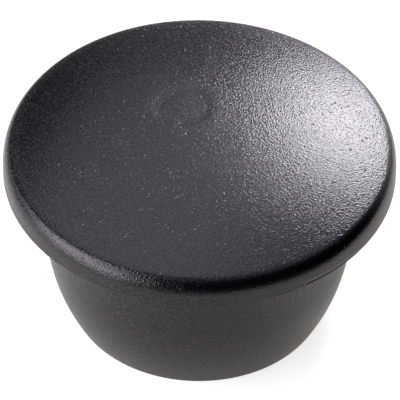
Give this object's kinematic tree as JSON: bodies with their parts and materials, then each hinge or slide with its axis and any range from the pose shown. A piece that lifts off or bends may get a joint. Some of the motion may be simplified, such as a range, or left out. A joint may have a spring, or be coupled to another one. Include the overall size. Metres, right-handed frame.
{
  "type": "push-in hole plug",
  "caption": "Domed push-in plug that closes a round panel hole: wide flanged head over a hollow, inward-curving shank that presses into the hole.",
  "frame": {"origin": "middle of the open mouth of the shank, on the plane it stands on", "axes": "+Z along the plug's axis, from the mouth to the domed head; X and Y are any two directions across it, since the plug is round"},
  "size_m": [0.024, 0.024, 0.0136],
  "materials": {
    "black_polyethylene": "fine spark-eroded grain on the domed head, satin on its edge and the shank"
  },
  "bodies": {
    "root": {"hole_plug": "black_polyethylene"}
  },
  "joints": []
}
